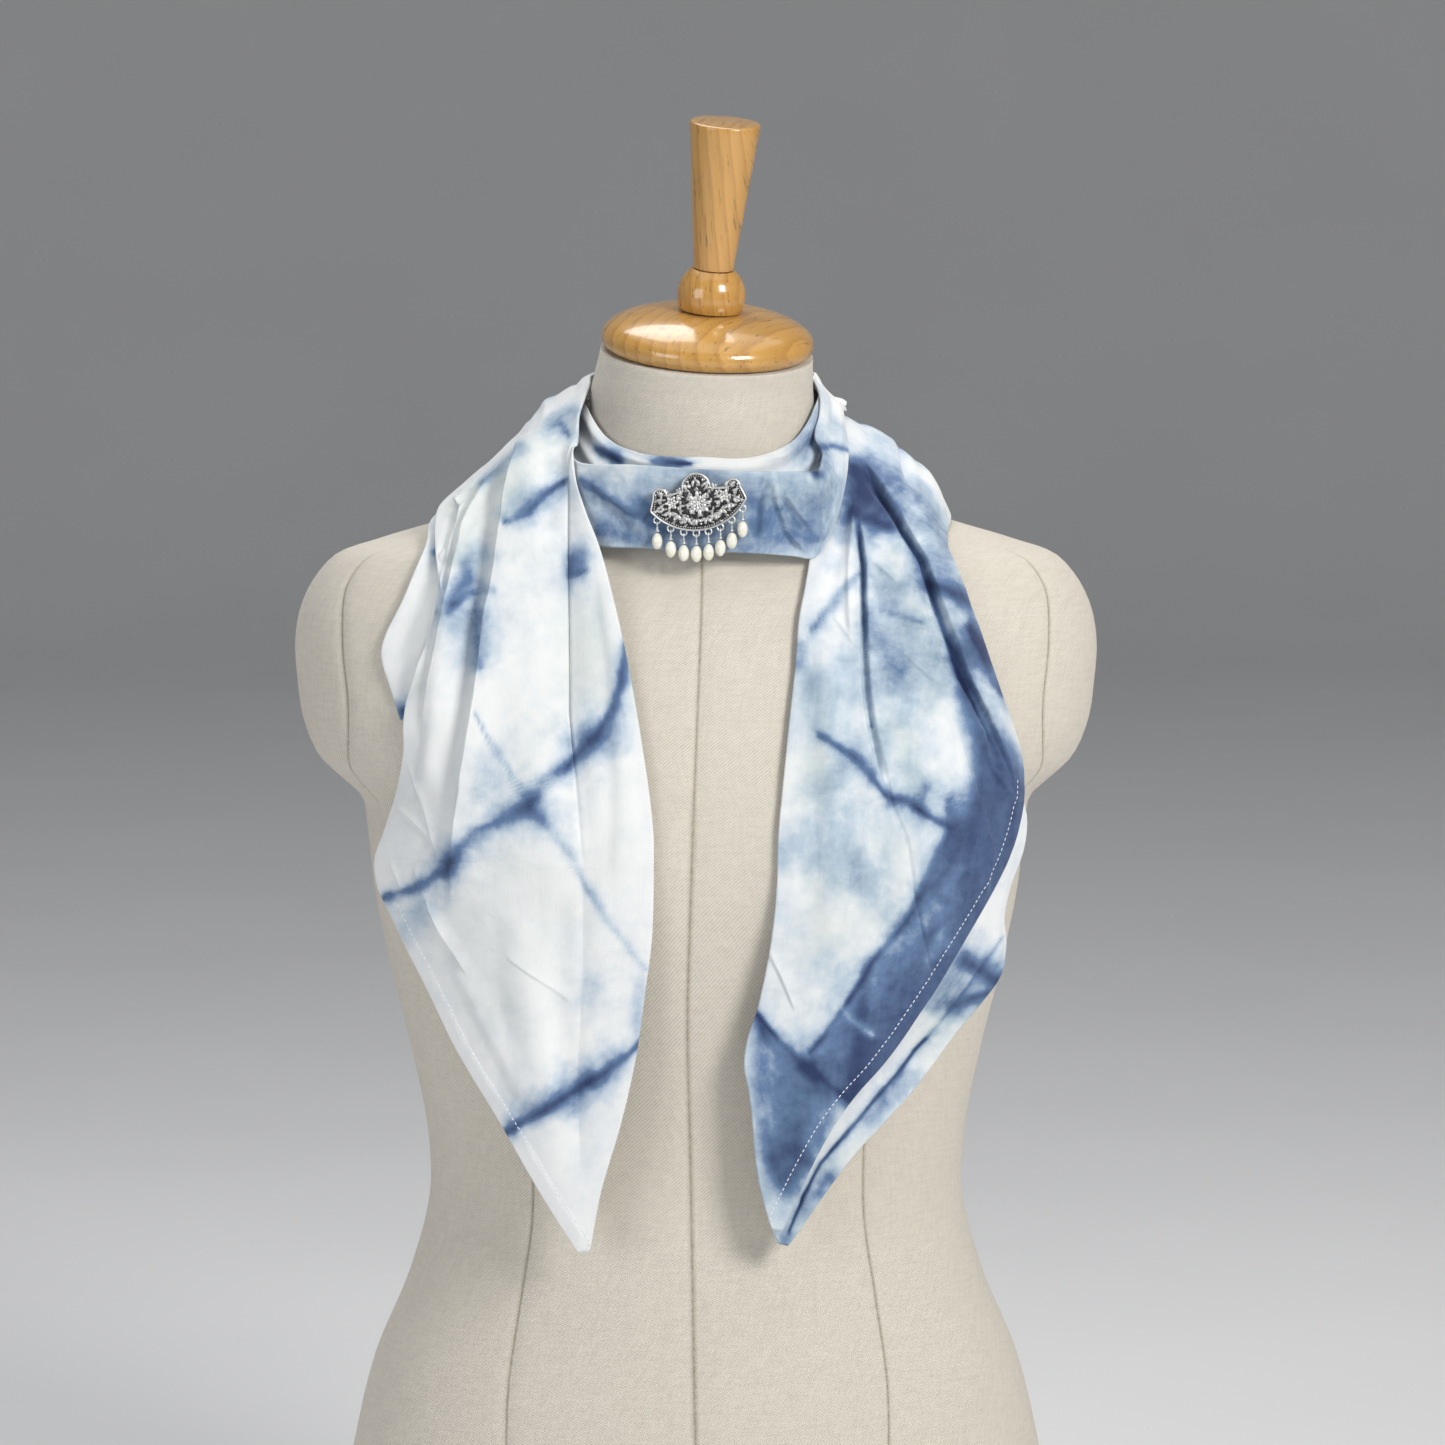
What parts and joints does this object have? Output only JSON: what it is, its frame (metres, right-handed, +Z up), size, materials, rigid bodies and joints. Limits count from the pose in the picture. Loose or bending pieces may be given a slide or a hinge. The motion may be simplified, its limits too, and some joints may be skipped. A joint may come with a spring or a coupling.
{
  "type": "scarf with brooch on dress form",
  "caption": "Tie-dyed cotton square wound round the neck of a limbless dress form, its ends hanging in points, pinned at the throat by a fan brooch with swinging pearl drops.",
  "frame": {"origin": "middle of the flat underside of the dress form", "axes": "+Z up along the form, -Y towards the wearer's front, +X to the right as seen from the front"},
  "size_m": [0.3908, 0.2491, 0.7601],
  "materials": {
    "linen": "unbleached linen twill",
    "wood": "honey wood, glossy varnish",
    "cotton": "white cotton, indigo tie dye, soft and matt",
    "silver": "aged silver, dark in its hollows",
    "pearl": "pearl lustre"
  },
  "bodies": {
    "stand": {"form_body": "linen", "neck_cap": "wood", "cap_ball": "wood", "cap_finial": "wood", "neck_wrap": "cotton", "front_band": "cotton", "fall_left": "cotton", "fall_left_lobe": "cotton", "fall_right": "cotton", "fall_right_under": "cotton", "brooch_plate": "silver", "brooch_pin": "silver"},
    "drop_1": {"wire_1": "silver", "pearl_1": "pearl"},
    "drop_2": {"wire_2": "silver", "pearl_2": "pearl"},
    "drop_3": {"wire_3": "silver", "pearl_3": "pearl"},
    "drop_4": {"wire_4": "silver", "pearl_4": "pearl"},
    "drop_5": {"wire_5": "silver", "pearl_5": "pearl"},
    "drop_6": {"wire_6": "silver", "pearl_6": "pearl"},
    "drop_7": {"wire_7": "silver", "pearl_7": "pearl"},
    "drop_8": {"wire_8": "silver", "pearl_8": "pearl"}
  },
  "joints": [
    {"name": "drop_1_swing", "type": "hinge", "parent": "stand", "child": "drop_1", "pos_m": [-0.018, -0.0856, 0.5679], "axis": [-1, 0, 0], "range_deg": [-5, 70]},
    {"name": "drop_2_swing", "type": "hinge", "parent": "stand", "child": "drop_2", "pos_m": [-0.0116, -0.0856, 0.5641], "axis": [-1, 0, 0], "range_deg": [-5, 70]},
    {"name": "drop_3_swing", "type": "hinge", "parent": "stand", "child": "drop_3", "pos_m": [-0.0054, -0.0856, 0.5622], "axis": [-1, 0, 0], "range_deg": [-5, 70]},
    {"name": "drop_4_swing", "type": "hinge", "parent": "stand", "child": "drop_4", "pos_m": [0.0006, -0.0856, 0.5618], "axis": [-1, 0, 0], "range_deg": [-5, 70]},
    {"name": "drop_5_swing", "type": "hinge", "parent": "stand", "child": "drop_5", "pos_m": [0.0064, -0.0856, 0.5626], "axis": [-1, 0, 0], "range_deg": [-5, 70]},
    {"name": "drop_6_swing", "type": "hinge", "parent": "stand", "child": "drop_6", "pos_m": [0.012, -0.0856, 0.5647], "axis": [-1, 0, 0], "range_deg": [-5, 70]},
    {"name": "drop_7_swing", "type": "hinge", "parent": "stand", "child": "drop_7", "pos_m": [0.0174, -0.0856, 0.5681], "axis": [-1, 0, 0], "range_deg": [-5, 70]},
    {"name": "drop_8_swing", "type": "hinge", "parent": "stand", "child": "drop_8", "pos_m": [0.0225, -0.0856, 0.5736], "axis": [-1, 0, 0], "range_deg": [-5, 70]}
  ]
}
